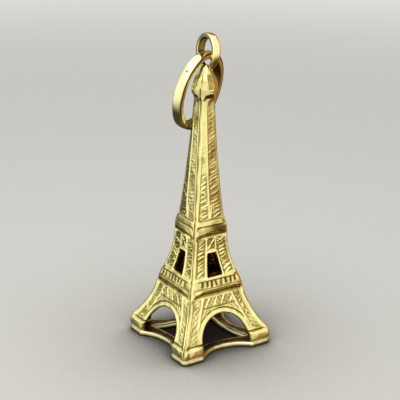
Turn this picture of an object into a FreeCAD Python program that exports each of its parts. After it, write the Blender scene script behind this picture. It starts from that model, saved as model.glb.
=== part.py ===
"""Hollow lattice-tower charm: two pressed half shells on a frame-shaped base, with a bail and a jump ring.

Frame: +Z up, origin on the ground at the centre of the base. The four tower faces look along X and Y.
The seam between the half shells runs down the (-X, -Y) corner and the (+X, +Y) corner.
"""
import FreeCAD, Part
import math
import os

import Sketcher

Vector = FreeCAD.Vector
UP = Vector(0, 0, 1)

SIZES = {
    # base frame
    "plate_thickness": 0.55,
    "plate_half": 5.65,
    "plate_notch_half": 3.20,
    "plate_notch_radius": 4.36,
    "plate_inner_corner": 3.70,
    "plate_inner_radius": 10.85,
    "plate_edge_round": 0.18,
    # solder films
    "base_solder_thickness": 0.05,
    "seam_width": 0.10,
    # pressed sheet and the feet
    "sheet_thickness": 0.45,
    "foot_half": 5.60,
    "foot_top_z": 1.68,
    "leg_foot_half": 5.42,
    "leg_foot_z": 1.76,
    # lower legs up to the first ledge
    "leg_top_half": 3.40,
    "leg_top_z": 6.10,
    "leg_radius": 13.4,
    "ledge_one_root_half": 3.24,
    "ledge_one_root_z": 6.30,
    "ledge_one_half": 3.34,
    "ledge_one_low_z": 6.80,
    "ledge_one_top_z": 7.02,
    "rail_foot_half": 3.18,
    "rail_foot_z": 7.10,
    "rail_top_half": 3.04,
    "rail_top_z": 7.98,
    # middle legs up to the second ledge
    "mid_foot_half": 2.86,
    "mid_foot_z": 8.06,
    "mid_top_half": 2.04,
    "mid_top_z": 12.20,
    "mid_radius": 12.0,
    "ledge_two_root_half": 1.94,
    "ledge_two_root_z": 12.35,
    "ledge_two_half": 2.06,
    "ledge_two_low_z": 12.90,
    "ledge_two_top_z": 13.42,
    "collar_half": 1.88,
    "collar_low_z": 13.50,
    "collar_top_z": 14.05,
    # shaft
    "shaft_foot_half": 1.72,
    "shaft_foot_z": 14.12,
    "shaft_top_half": 0.80,
    "shaft_top_z": 26.30,
    "shaft_radius": 211.0,
    "shaft_fold_low": 0.12,
    "shaft_fold_high": 0.22,
    "fold_root": 0.20,
    "mitre_start": 0.16,
    # openings in each face
    "arch_foot_half": 3.20,
    "arch_radius": 3.00,
    "arch_centre_z": 1.15,
    "window_foot_half": 1.00,
    "window_foot_z": 8.10,
    "window_top_half": 0.55,
    "window_top_z": 10.55,
    # finial: circumradii of its eight-sided sections
    "neck_low_radius": 1.00,
    "neck_radius": 1.03,
    "neck_z": 26.70,
    "belt_low_radius": 1.42,
    "belt_low_z": 27.35,
    "belt_radius": 1.47,
    "belt_z": 27.75,
    "bud_radius": 1.21,
    "bud_z": 28.70,
    "bud_top_radius": 0.78,
    "bud_top_z": 29.50,
    "tip_radius": 0.24,
    "tip_z": 30.00,
    "tip_shift_x": 0.16,
    "tip_shift_y": -0.10,
    # bail: the small fixed ring on the tip
    "bail_outer_radius": 1.93,
    "bail_band": 0.52,
    "bail_width": 0.70,
    "bail_round": 0.14,
    "bail_x": 0.44,
    "bail_y": -0.10,
    "bail_z": 31.64,
    "bail_turn": -95.5,
    "bail_tilt": 5.3,
    "bail_solder_radius": 0.62,
    # jump ring: the large ring hanging from the bail
    "jump_outer_radius": 4.27,
    "jump_band": 0.79,
    "jump_width": 0.88,
    "jump_round": 0.24,
    "jump_hang_x": 0.60,
    "jump_hang_y": 0.52,
    "jump_hang_z": 31.18,
    "jump_turn": 26.0,
    "jump_lean": 12.0,
    "jump_split": 0.05,
    "jump_split_turn": 150.0,
}


class Size:
    """A length with both its value and the sheet expression that gives it."""

    def __init__(self, value, text):
        self.value = value
        self.text = text

    def _join(self, other, sign, value):
        return Size(value, "({} {} {})".format(self.text, sign, other.text))

    def __add__(self, other):
        return self._join(other, "+", self.value + other.value)

    def __sub__(self, other):
        return self._join(other, "-", self.value - other.value)

    def __neg__(self):
        return Size(-self.value, "(-1 * {})".format(self.text))


def fill_sheet(doc):
    sheet = doc.addObject("Spreadsheet::Sheet", "sizes")
    for row, (alias, value) in enumerate(SIZES.items(), start=1):
        sheet.set("A{}".format(row), alias.replace("_", " "))
        sheet.set("B{}".format(row), "{:g}".format(value))
        sheet.setAlias("B{}".format(row), alias)
    doc.recompute()
    return sheet


doc = FreeCAD.newDocument("tower_charm")
cells = fill_sheet(doc)
NOUGHT = Size(0.0, "0")


def number(alias):
    return float(cells.get(alias))


def size(alias):
    return Size(number(alias), "sizes.{}".format(alias))


def origin_feature(body, role):
    return next(item for item in body.Origin.OriginFeatures if item.Role == role)


def new_body(label):
    body = doc.addObject("PartDesign::Body", label)
    body.Label = label
    return body


def new_sketch(body, name, plane):
    sketch = body.newObject("Sketcher::SketchObject", name)
    sketch.AttachmentSupport = (origin_feature(body, plane), [""])
    sketch.MapMode = "FlatFace"
    return sketch


def bind(sketch, constraint, length):
    index = sketch.addConstraint(constraint)
    sketch.setExpression("Constraints[{}]".format(index), length.text)


def hold(sketch, kind, edge, end, length):
    """Hold one end of an edge at a signed distance from the sketch's origin."""
    if length.text == "0":
        axis = -2 if kind == "DistanceX" else -1
        sketch.addConstraint(Sketcher.Constraint("PointOnObject", edge, end, axis))
    elif length.value > 0:
        bind(sketch, Sketcher.Constraint(kind, -1, 1, edge, end, length.value), length)
    else:
        bind(sketch, Sketcher.Constraint(kind, edge, end, -1, 1, -length.value), -length)


def arc_between(start, end, radius, bulge):
    """The arc over the chord start-end that bows to its left (bulge 1) or its right (bulge -1)."""
    chord = end - start
    left = Vector(-chord.y, chord.x, 0).normalize()
    reach = math.sqrt(max(radius ** 2 - (chord.Length / 2) ** 2, 0.0))
    centre = (start + end) * 0.5 - left * (bulge * reach)
    first, last = (end, start) if bulge > 0 else (start, end)
    angles = [math.atan2(point.y - centre.y, point.x - centre.x) for point in (first, last)]
    if angles[1] < angles[0]:
        angles[1] += 2 * math.pi
    return Part.ArcOfCircle(Part.Circle(centre, UP, radius), angles[0], angles[1])


def draw_outline(sketch, corners, arcs=None):
    """A closed outline. corners: (x, y) pairs of Size; arcs: edge number -> (radius Size, bulge)."""
    arcs = arcs or {}
    points = [Vector(x.value, y.value, 0) for x, y in corners]
    count = len(points)
    ends = []
    for number in range(count):
        start, end = points[number], points[(number + 1) % count]
        if number not in arcs:
            edge = sketch.addGeometry(Part.LineSegment(start, end))
            ends.append((edge, 1, 2))
            continue
        radius, bulge = arcs[number]
        edge = sketch.addGeometry(arc_between(start, end, radius.value, bulge))
        ends.append((edge, 2, 1) if bulge > 0 else (edge, 1, 2))
    for number in range(count):
        edge, _, last = ends[number]
        follower, first, _ = ends[(number + 1) % count]
        sketch.addConstraint(Sketcher.Constraint("Coincident", edge, last, follower, first))
    for number, (across, along) in enumerate(corners):
        edge, first, _ = ends[number]
        hold(sketch, "DistanceX", edge, first, across)
        hold(sketch, "DistanceY", edge, first, along)
    for edge_number, (radius, _) in arcs.items():
        edge = ends[edge_number][0]
        chord = points[edge_number].distanceToPoint(points[(edge_number + 1) % count])
        if abs(chord - 2 * radius.value) < 1e-6:
            hold(sketch, "DistanceY", edge, 3, corners[edge_number][1])
        else:
            bind(sketch, Sketcher.Constraint("Radius", edge, radius.value), radius)


def pad_through(body, name, sketch, expression):
    pad = body.newObject("PartDesign::Pad", name)
    pad.Profile = sketch
    pad.SideType = "Symmetric"
    pad.setExpression("Length", expression)
    return pad


def pocket_through(body, name, sketch):
    pocket = body.newObject("PartDesign::Pocket", name)
    pocket.Profile = sketch
    pocket.Type = "ThroughAll"
    pocket.SideType = "Symmetric"
    return pocket


def shaft_fold(body, label):
    """The shallow ridge up the middle of the shaft's face: a loft between two flat triangles."""
    triangles = []
    ends = [
        ("low", "shaft_foot_half", "shaft_foot_z"),
        ("high", "shaft_top_half", "shaft_top_z"),
    ]
    for end, half, height in ends:
        triangle = new_sketch(body, "{}_fold_{}".format(label, end), "XY_Plane")
        triangle.setExpression("AttachmentOffset.Base.z", "sizes.{}".format(height))
        base = size(half) - size("fold_root")
        peak = size(half) + size("shaft_fold_" + end)
        draw_outline(triangle, [(-size(half), base), (size(half), base), (NOUGHT, peak)])
        triangles.append(triangle)
    doc.recompute()
    fold = body.newObject("PartDesign::AdditiveLoft", label + "_fold")
    fold.Profile = triangles[0]
    fold.Sections = triangles[1:]
    fold.Ruled = True


def face_panel(label, turn):
    """One tower face: the sheet's side profile padded across, mitred at 45 degrees, with two openings."""
    body = new_body(label)
    sheet = size("sheet_thickness")
    foot_z = size("plate_thickness") + size("base_solder_thickness")
    outer = [
        (size("foot_half"), foot_z),
        (size("foot_half"), size("foot_top_z")),
        (size("leg_foot_half"), size("leg_foot_z")),
        (size("leg_top_half"), size("leg_top_z")),
        (size("ledge_one_root_half"), size("ledge_one_root_z")),
        (size("ledge_one_half"), size("ledge_one_low_z")),
        (size("ledge_one_half"), size("ledge_one_top_z")),
        (size("rail_foot_half"), size("rail_foot_z")),
        (size("rail_top_half"), size("rail_top_z")),
        (size("mid_foot_half"), size("mid_foot_z")),
        (size("mid_top_half"), size("mid_top_z")),
        (size("ledge_two_root_half"), size("ledge_two_root_z")),
        (size("ledge_two_half"), size("ledge_two_low_z")),
        (size("ledge_two_half"), size("ledge_two_top_z")),
        (size("collar_half"), size("collar_low_z")),
        (size("collar_half"), size("collar_top_z")),
        (size("shaft_foot_half"), size("shaft_foot_z")),
        (size("shaft_top_half"), size("shaft_top_z")),
    ]
    inner = [
        (size("shaft_top_half") - sheet, size("shaft_top_z")),
        (size("shaft_foot_half") - sheet, size("shaft_foot_z")),
        (size("mid_top_half") - sheet, size("mid_top_z")),
        (size("mid_foot_half") - sheet, size("mid_foot_z")),
        (size("leg_top_half") - sheet, size("leg_top_z")),
        (size("leg_foot_half") - sheet, size("leg_foot_z")),
        (size("leg_foot_half") - sheet, foot_z),
    ]
    arcs = {
        2: (size("leg_radius"), 1),
        9: (size("mid_radius"), 1),
        16: (size("shaft_radius"), 1),
        18: (size("shaft_radius"), -1),
        20: (size("mid_radius"), -1),
        22: (size("leg_radius"), -1),
    }
    profile = new_sketch(body, label + "_profile", "YZ_Plane")
    draw_outline(profile, outer + inner, arcs)
    pad_through(body, label + "_sheet", profile, "2 * sizes.foot_half")

    shaft_fold(body, label)
    mitre = new_sketch(body, label + "_mitre_lines", "XY_Plane")
    reach = size("foot_half") + size("foot_half")
    trim = size("mitre_start")
    for side in (1, -1):
        across = reach if side > 0 else -reach
        near = trim if side > 0 else -trim
        draw_outline(mitre, [(near, trim), (across, reach), (across, trim)])
    pocket_through(body, label + "_mitre", mitre)

    openings = new_sketch(body, label + "_opening_lines", "XZ_Plane")
    foot, spring = size("arch_foot_half"), size("arch_radius")
    draw_outline(
        openings,
        [(-foot, NOUGHT), (-spring, size("arch_centre_z")), (spring, size("arch_centre_z")), (foot, NOUGHT)],
        {1: (size("arch_radius"), 1)},
    )
    sill, head = size("window_foot_half"), size("window_top_half")
    draw_outline(
        openings,
        [
            (-sill, size("window_foot_z")),
            (-head, size("window_top_z")),
            (head, size("window_top_z")),
            (sill, size("window_foot_z")),
        ],
    )
    pocket_through(body, label + "_openings", openings)
    body.Placement = FreeCAD.Placement(Vector(), FreeCAD.Rotation(UP, turn))
    return body


def finial():
    """The faceted bud: a ruled loft through octagons whose centres drift towards the tip."""
    stations = [
        ("neck_low_radius", "shaft_top_z"),
        ("neck_radius", "neck_z"),
        ("belt_low_radius", "belt_low_z"),
        ("belt_radius", "belt_z"),
        ("bud_radius", "bud_z"),
        ("bud_top_radius", "bud_top_z"),
        ("tip_radius", "tip_z"),
    ]
    drift = "(sizes.{0} - sizes.shaft_top_z) / (sizes.tip_z - sizes.shaft_top_z)"
    sections = []
    for radius, height in stations:
        octagon = doc.addObject("Part::RegularPolygon", "octagon_" + height)
        octagon.Polygon = 8
        octagon.setExpression("Circumradius", "sizes.{}".format(radius))
        octagon.Placement = FreeCAD.Placement(Vector(), FreeCAD.Rotation(UP, 22.5))
        share = drift.format(height)
        octagon.setExpression("Placement.Base.x", "sizes.tip_shift_x * {}".format(share))
        octagon.setExpression("Placement.Base.y", "sizes.tip_shift_y * {}".format(share))
        octagon.setExpression("Placement.Base.z", "sizes.{}".format(height))
        sections.append(octagon)
    bud = doc.addObject("Part::Loft", "finial_bud")
    bud.Sections = sections
    bud.Solid = True
    bud.Ruled = True
    return bud


def joined(kind, name, pieces):
    result = doc.addObject(kind, name)
    if kind in ("Part::MultiFuse", "Part::MultiCommon"):
        result.Shapes = pieces
        result.Refine = True
    else:
        result.Base, result.Tool = pieces
    result.Label = name
    return result


def seam_side_block(name, near, far):
    """A tall block between two distances from the seam plane, which holds the Z axis and the line x = y."""
    block = doc.addObject("Part::Box", name)
    block.setExpression("Length", "4 * sizes.foot_half")
    block.setExpression("Width", "{} - ({})".format(far, near))
    block.setExpression("Height", "2 * sizes.tip_z")
    turn = FreeCAD.Rotation(UP, 45)
    block.Placement = FreeCAD.Placement(Vector(), turn)
    along = "(-2 * sizes.foot_half)"
    block.setExpression("Placement.Base.x", "({} - ({})) * sqrt(2) / 2".format(along, near))
    block.setExpression("Placement.Base.y", "({} + ({})) * sqrt(2) / 2".format(along, near))
    return block


def band_ring(label, radius, band, width, edge_round):
    """A flat band bent to a ring about its own Z axis."""
    body = new_body(label)
    section = new_sketch(body, label + "_section", "XZ_Plane")
    outer, inner = size(radius), size(radius) - size(band)
    half = Size(number(width) / 2, "(sizes.{} / 2)".format(width))
    draw_outline(section, [(inner, -half), (outer, -half), (outer, half), (inner, half)])
    turned = body.newObject("PartDesign::Revolution", label + "_turned")
    turned.Profile = section
    turned.ReferenceAxis = (origin_feature(body, "Z_Axis"), [""])
    turned.Angle = 360
    doc.recompute()
    rounded = body.newObject("PartDesign::Fillet", label + "_rounded")
    rings = ["Edge{}".format(n + 1) for n, edge in enumerate(turned.Shape.Edges)
             if edge.Curve.TypeId == "Part::GeomCircle" and edge.Length > 2 * math.pi * (inner.value - 0.01)]
    rounded.Base = (turned, rings)
    rounded.setExpression("Radius", "sizes.{}".format(edge_round))
    return body


def direction(turn, tilt):
    """The unit vector at a compass turn from -Y and a tilt above the horizontal, both in degrees."""
    turn, tilt = math.radians(turn), math.radians(tilt)
    return Vector(math.sin(turn) * math.cos(tilt), -math.cos(turn) * math.cos(tilt), math.sin(tilt))


def bail_placement(slide=0.0):
    """The bail's own frame, moved along the bail's axis by slide."""
    centre = Vector(number("bail_x"), number("bail_y"), number("bail_z"))
    axis = direction(number("bail_turn"), number("bail_tilt"))
    return FreeCAD.Placement(centre + axis * slide, FreeCAD.Rotation(UP, axis))


def bail_ring():
    body = band_ring("bail_ring", "bail_outer_radius", "bail_band", "bail_width", "bail_round")
    body.Placement = bail_placement()
    return body


def bail_disc(name, radius):
    """A cylinder on the bail's axis, longer than the bail is wide."""
    disc = doc.addObject("Part::Cylinder", name)
    disc.setExpression("Radius", radius)
    disc.setExpression("Height", "4 * sizes.bail_width")
    disc.Placement = bail_placement(-2 * number("bail_width"))
    return disc


def bail_seat():
    """The flat-bottomed slot in the tip that the band sits in: the same disc, only as wide as the band."""
    disc = doc.addObject("Part::Cylinder", "bail_seat")
    disc.setExpression("Radius", "sizes.bail_outer_radius")
    disc.setExpression("Height", "sizes.bail_width")
    disc.Placement = bail_placement(-number("bail_width") / 2)
    return disc


def bail_solder(shell, bail):
    """The collar of solder around the foot of the bail, up to the band's side faces."""
    blob = doc.addObject("Part::Sphere", "solder_blob")
    blob.setExpression("Radius", "sizes.bail_solder_radius")
    foot = bail_placement().Base - Vector(0, 0, number("bail_outer_radius"))
    blob.Placement = FreeCAD.Placement(foot, FreeCAD.Rotation())
    bare = joined("Part::Cut", "solder_clear_of_shell", (blob, shell))
    open_hole = joined("Part::Cut", "solder_clear_of_hole",
                       (bare, bail_disc("bail_hole", "sizes.bail_outer_radius - sizes.bail_band")))
    return joined("Part::Cut", "bail_solder", (open_hole, bail))


def jump_ring():
    """The large ring, split once, hanging from a point in the bail's hole, close to the shaft's back."""
    body = band_ring("jump_ring", "jump_outer_radius", "jump_band", "jump_width", "jump_round")
    split = new_sketch(body, "jump_ring_split_lines", "XY_Plane")
    gap = Size(number("jump_split") / 2, "(sizes.jump_split / 2)")
    near = size("jump_outer_radius") - size("jump_band") - size("jump_band")
    far = size("jump_outer_radius") + size("jump_band")
    draw_outline(split, [(near, -gap), (far, -gap), (far, gap), (near, gap)])
    doc.recompute()
    pocket_through(body, "jump_ring_split", split)
    middle = number("jump_outer_radius") - number("jump_band") / 2
    axis = direction(number("jump_turn"), -number("jump_lean"))
    hang = Vector(number("jump_hang_x"), number("jump_hang_y"), number("jump_hang_z"))
    tangent = UP.cross(axis).normalize()
    to_hang = axis.cross(tangent).normalize()
    if to_hang.z < 0:
        to_hang = to_hang * -1
    spin = FreeCAD.Rotation(UP, number("jump_split_turn"))
    turned = FreeCAD.Rotation(UP, axis).multiply(spin)
    body.Placement = FreeCAD.Placement(hang - to_hang * middle, turned)
    return body


def base_frame():
    """The base plate: a square with an arc bitten out of each side and an opening of four arcs."""
    body = new_body("base_frame")
    outline = new_sketch(body, "base_frame_outline", "XY_Plane")
    half, notch = size("plate_half"), size("plate_notch_half")
    corner = size("plate_inner_corner")
    outer = [
        (half, -half), (half, -notch), (half, notch), (half, half),
        (notch, half), (-notch, half), (-half, half),
        (-half, notch), (-half, -notch), (-half, -half),
        (-notch, -half), (notch, -half),
    ]
    bites = {edge: (size("plate_notch_radius"), 1) for edge in (1, 4, 7, 10)}
    draw_outline(outline, outer, bites)
    inner = [(corner, -corner), (corner, corner), (-corner, corner), (-corner, -corner)]
    bows = {edge: (size("plate_inner_radius"), 1) for edge in range(4)}
    draw_outline(outline, inner, bows)
    pad = body.newObject("PartDesign::Pad", "base_frame_plate")
    pad.Profile = outline
    pad.setExpression("Length", "sizes.plate_thickness")
    doc.recompute()
    rounded = body.newObject("PartDesign::Fillet", "base_frame_rounded")
    flat = ["Edge{}".format(n + 1) for n, edge in enumerate(pad.Shape.Edges)
            if edge.BoundBox.ZLength < 0.001 and edge.BoundBox.ZMin > 0.001]
    rounded.Base = (pad, flat)
    rounded.setExpression("Radius", "sizes.plate_edge_round")
    return body


def base_solder():
    """Thin L-shaped films of solder between the four feet and the plate."""
    films = []
    halves = {"film_outer": "sizes.foot_half", "film_inner": "(sizes.leg_foot_half - sizes.sheet_thickness)"}
    for name, half in halves.items():
        slab = doc.addObject("Part::Box", name)
        for side in ("Length", "Width"):
            slab.setExpression(side, "2 * {}".format(half))
        slab.setExpression("Height", "sizes.base_solder_thickness")
        slab.setExpression("Placement.Base.x", "-1 * {}".format(half))
        slab.setExpression("Placement.Base.y", "-1 * {}".format(half))
        slab.setExpression("Placement.Base.z", "sizes.plate_thickness")
        films.append(slab)
    result = joined("Part::Cut", "solder_square", films)
    across, along = "-1 * sizes.arch_foot_half", "-2 * sizes.foot_half"
    bars = {
        "solder_bar_x": ("Length", "Width", along, across),
        "solder_bar_y": ("Width", "Length", across, along),
    }
    for name, (long_side, short_side, shift_x, shift_y) in bars.items():
        bar = doc.addObject("Part::Box", name)
        bar.setExpression(long_side, "4 * sizes.foot_half")
        bar.setExpression(short_side, "2 * sizes.arch_foot_half")
        bar.setExpression("Height", "2 * sizes.plate_thickness")
        bar.setExpression("Placement.Base.x", shift_x)
        bar.setExpression("Placement.Base.y", shift_y)
        result = joined("Part::Cut", "{}_cut".format(name), (result, bar))
    result.Label = "base_solder"
    return result


def tower_pieces():
    """The closed pressed tower, shared out between the two half shells and the seam solder."""
    panels = [face_panel("panel_{}".format(turn), turn) for turn in (0, 90, 180, 270)]
    tower = joined("Part::MultiFuse", "closed_tower", panels + [finial()])
    tower = joined("Part::Cut", "seated_tower", (tower, bail_seat()))
    edge = "sizes.seam_width / 2"
    sides = {
        "left_half_shell": (edge, "2 * sizes.foot_half"),
        "seam_solder": ("-1 * " + edge, edge),
        "right_half_shell": ("-2 * sizes.foot_half", "-1 * " + edge),
    }
    pieces = []
    for label, (near, far) in sides.items():
        block = seam_side_block(label + "_side", near, far)
        pieces.append(joined("Part::Common", label, (tower, block)))
    return tower, pieces


def check(pieces):
    doc.recompute()
    bad = [item.Name for item in doc.Objects if {"Invalid", "Error"} & set(item.State)]
    for piece in pieces:
        if piece.Shape.isNull() or not piece.Shape.isValid() or not piece.Shape.Solids:
            bad.append(piece.Label)
    if bad:
        raise RuntimeError("failed: " + ", ".join(bad))


tower, pieces = tower_pieces()
bail = bail_ring()
pieces += [base_frame(), base_solder(), bail, bail_solder(tower, bail), jump_ring()]
check(pieces)
os.makedirs("parts", exist_ok=True)
for piece in pieces:
    piece.Shape.exportStep("parts/{}.step".format(piece.Label))
    print(piece.Label, len(piece.Shape.Solids), round(piece.Shape.Volume, 3), piece.Shape.BoundBox)
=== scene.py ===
import math

import bmesh
import bpy
import numpy as np
from mathutils import Matrix, Vector
from mathutils.geometry import delaunay_2d_cdt


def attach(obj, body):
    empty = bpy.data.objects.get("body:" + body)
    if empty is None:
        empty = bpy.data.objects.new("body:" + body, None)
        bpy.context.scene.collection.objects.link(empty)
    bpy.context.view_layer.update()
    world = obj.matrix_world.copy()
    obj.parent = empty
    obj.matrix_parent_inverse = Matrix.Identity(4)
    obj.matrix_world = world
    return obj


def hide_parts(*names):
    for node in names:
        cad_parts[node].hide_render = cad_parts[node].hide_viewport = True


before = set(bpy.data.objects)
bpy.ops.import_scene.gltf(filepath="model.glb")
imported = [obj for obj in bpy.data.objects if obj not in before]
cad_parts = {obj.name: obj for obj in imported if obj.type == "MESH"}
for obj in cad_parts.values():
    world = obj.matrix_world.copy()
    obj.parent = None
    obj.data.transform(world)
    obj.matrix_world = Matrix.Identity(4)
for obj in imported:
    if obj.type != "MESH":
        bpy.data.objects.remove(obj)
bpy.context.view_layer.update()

# Lengths in this script are millimetres in the frame's own axes; MM turns them into Blender's metres.
MM = 0.001

# ---- Outline of the tower: stations of (height, half width), and the bow of the stretch below if any ----
FOOT_Z = 0.60
TIP_Z = 30.34
SHEET = 0.45

FOOT_CORNER = [(0.0, 5.46), (0.60, 5.50), (0.80, 5.60), (1.15, 5.61), (2.20, 5.08, -0.12)]
LEDGE_ONE_CORNER = [(6.10, 3.40, 0.22), (6.40, 3.30), (6.80, 3.26), (7.40, 3.10)]
LEDGE_TWO_CORNER = [(12.50, 2.03, 0.27), (13.30, 1.99), (13.90, 1.86), (14.30, 1.72)]
BUD_CORNER = [
    (26.30, 0.80, 0.10), (26.85, 0.775), (27.30, 0.80), (27.95, 0.855), (28.30, 0.85),
    (28.97, 0.73), (29.53, 0.52), (30.09, 0.32), (30.34, 0.14),
]
CORNER_LINE = FOOT_CORNER + LEDGE_ONE_CORNER + LEDGE_TWO_CORNER + BUD_CORNER

FOOT_MIDDLE = [(0.0, 5.44), (0.60, 5.48), (0.82, 5.59), (1.54, 5.55), (1.70, 5.33), (2.05, 5.14)]
LEDGE_ONE_MIDDLE = [
    (6.00, 3.44, 0.20), (6.15, 3.24), (6.40, 3.18), (6.82, 3.50), (7.02, 3.50),
    (7.10, 3.32), (7.80, 3.10), (7.86, 3.16), (8.02, 3.12), (8.12, 2.86),
]
LEDGE_TWO_MIDDLE = [
    (12.15, 2.04, 0.20), (12.30, 1.88), (12.48, 1.86), (12.92, 2.20), (13.38, 2.14),
    (13.47, 1.93), (13.58, 2.05), (14.02, 1.95), (14.14, 1.76),
]
BUD_MIDDLE = [
    (26.30, 0.80, 0.10), (26.62, 0.80), (26.92, 0.96), (27.05, 0.99), (27.28, 1.10),
    (27.50, 1.40), (27.99, 1.41), (28.97, 1.13, -0.01), (29.53, 0.83, -0.01),
    (30.09, 0.52, -0.02), (30.34, 0.24, -0.02),
]
MIDDLE_LINE = FOOT_MIDDLE + LEDGE_ONE_MIDDLE + LEDGE_TWO_MIDDLE + BUD_MIDDLE

LINE_LOW, LINE_HIGH, LINE_STEP = -0.5, 31.0, 0.01
LINE_SOFTNESS = 0.035
CORNER_SPARE = 0.035
BUD_START = (26.62, 26.95)


def smooth(low, high, t):
    """0 below low, 1 above high, and a smooth step between; high may be lower than low."""
    x = np.clip((t - low) / (high - low), 0.0, 1.0)
    return x * x * (3.0 - 2.0 * x)


def between(low, high, soft, t):
    """1 inside low..high, 0 outside, with soft edges."""
    return smooth(low - soft, low + soft, t) * (1.0 - smooth(high - soft, high + soft, t))


def bump(distance, reach):
    """A rounded ridge: 1 on its line, 0 beyond its reach."""
    x = np.clip(np.abs(distance) / reach, 0.0, 1.0)
    return (1.0 - x * x) ** 2


def hump(t):
    """A broad swelling: 1 at 0, and 0 from 1 on."""
    return np.clip(1.0 - t ** 2, 0.0, 1.0)


def line_table(stations):
    """Heights and softened half widths along an outline, finely spaced."""
    heights = np.arange(LINE_LOW, LINE_HIGH, LINE_STEP)
    halves = np.full_like(heights, stations[0][1])
    for (z0, w0, *_), (z1, w1, *bow) in zip(stations, stations[1:]):
        part = (heights >= z0) & (heights <= z1)
        t = (heights[part] - z0) / (z1 - z0)
        halves[part] = w0 + (w1 - w0) * t - sum(bow) * 4.0 * t * (1.0 - t)
    halves[heights > stations[-1][0]] = stations[-1][1]
    count = int(round(3.0 * LINE_SOFTNESS / LINE_STEP))
    weights = np.exp(-0.5 * (np.arange(-count, count + 1) * LINE_STEP / LINE_SOFTNESS) ** 2)
    padded = np.pad(halves, count, mode="edge")
    return heights, np.convolve(padded, weights / weights.sum(), mode="valid")


CORNER_TABLE = line_table(CORNER_LINE)
MIDDLE_TABLE = line_table(MIDDLE_LINE)


def bud_share(z):
    """0 on the square tower, 1 on the eight-sided bud at its top."""
    return smooth(*BUD_START, z)


def corner_half(z):
    """Half width at the corners, a little fuller below the bud, where they are then rounded off."""
    return np.interp(z, *CORNER_TABLE) + CORNER_SPARE * (1.0 - bud_share(z))


def middle_half(z):
    return np.interp(z, *MIDDLE_TABLE)


# ---- Openings in each face ----
ARCH_RADIUS = 3.00
ARCH_CENTRE_Z = 1.15
ARCH_FOOT_HALF = 3.16
WINDOW_LOW, WINDOW_HIGH = 8.10, 10.56
WINDOW_FOOT_HALF, WINDOW_HEAD_HALF = 0.98, 0.55
WINDOW_SLOPE = (WINDOW_FOOT_HALF - WINDOW_HEAD_HALF) / (WINDOW_HIGH - WINDOW_LOW)
WINDOW_ROUND = 0.10


def arch_distance(s, z):
    """Distance outside the arch's edge, negative inside the opening."""
    over = np.hypot(s, z - ARCH_CENTRE_Z) - ARCH_RADIUS
    jamb = np.interp(z, [FOOT_Z, ARCH_CENTRE_Z], [ARCH_FOOT_HALF, ARCH_RADIUS])
    return np.where(z > ARCH_CENTRE_Z, over, np.abs(s) - jamb)


def window_distance(s, z):
    """Distance outside the window's edge, negative inside the opening."""
    side = (np.abs(s) - WINDOW_FOOT_HALF + WINDOW_SLOPE * (z - WINDOW_LOW)) / math.hypot(1.0, WINDOW_SLOPE)
    across, along = side + WINDOW_ROUND, np.maximum(WINDOW_LOW - z, z - WINDOW_HIGH) + WINDOW_ROUND
    outside = np.hypot(np.maximum(across, 0.0), np.maximum(along, 0.0))
    return outside + np.minimum(np.maximum(across, along), 0.0) - WINDOW_ROUND


def opening_distance(s, z):
    return np.minimum(arch_distance(s, z), window_distance(s, z))


# ---- Relief of one face: s runs across it, to the right as seen from outside; z is the height ----
WAVE_TURN = 6.28
WAVE_COUNT = 14
MARK_COUNT = 400


class Face:
    """One pressed face: its quarter turn, its soldered side and its side at the front corner (-1, 0 or 1)."""

    def __init__(self, turn, seam_side, seed, front_side):
        self.turn = turn
        self.seam_side = seam_side
        self.front_side = front_side
        random = np.random.RandomState(seed)
        self.waves = [
            (random.uniform(-1, 1), random.uniform(-1, 1), random.uniform(0, WAVE_TURN))
            for _ in range(WAVE_COUNT)
        ]
        self.marks = random.uniform(-1, 1, MARK_COUNT)

    def wobble(self, s, z, scale):
        """Slow hand-worked unevenness between about -1 and 1."""
        total = 0.0
        for a, b, phase in self.waves:
            total = total + np.sin((a * s + b * z) * WAVE_TURN / scale + phase)
        return total / 4.0

    def vary(self, key, middle, spread):
        """A value of the mark with this key: middle, give or take spread."""
        return middle + spread * self.marks[key]

    def toward_front(self, s):
        """Where s lies on the half next to the front corner."""
        return s * self.front_side > 0


RIDGE_LINE = ([14.0, 18.0, 26.0, 27.0], [-0.04, -0.14, -0.24, 0.0])
FOLD_LINE = (
    [2.0, 8.0, 13.9, 14.3, 17.5, 24.0, 26.65, 26.95],
    [0.02, 0.05, 0.08, 0.13, 0.22, 0.21, 0.17, 0.0],
)


def ridge_place(z):
    """Where the fold up the middle of the shaft's face sits; it drifts to the left going up."""
    return np.interp(z, *RIDGE_LINE)


def far_half(face, s, z):
    """1 on the half of a face that lies away from its soldered seam, 0 on the other half."""
    return smooth(0.02, 0.22, (ridge_place(z) - s) * face.seam_side)


CELL_KEYS = 389
CELL_STEP = 7


def lattice(face, u, along, width, pitch, reach, seed):
    """Crossed ribs in a strip: u is 0..1 across it, along the distance along it, width its width."""
    place = along / pitch + 0.20 * np.sin(along * 1.7 + seed) + 0.09 * face.wobble(u * width, along, 1.3)
    cell = np.floor(place).astype(int)
    v = place - cell
    key = (cell * CELL_STEP + seed) % CELL_KEYS
    strong = np.clip(face.vary(key, 0.85, 0.55), 0.15, 1.2)
    weak = np.clip(face.vary(key + 1, 0.20, 0.90), 0.0, 0.9)
    lean, other = face.vary(key + 2, 0.0, 0.30), face.vary(key + 3, 0.0, 0.30)
    reach = reach * face.vary(key + 4, 1.1, 0.4)
    low, high = face.vary(key + 5, 0.12, 0.12), 1.0 - face.vary(key + 6, 0.12, 0.12)
    length = between(low, high, 0.10, u)
    across = width * pitch / np.hypot(width, pitch)
    rising = bump((u - v - lean) * across, reach) * strong * (0.35 + 0.65 * length)
    falling = bump((u - 1.0 + v + other) * across, reach) * weak * length
    return np.sqrt(rising ** 2 + falling ** 2 + 0.0001)


BAND_SOFT = 0.06


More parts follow.
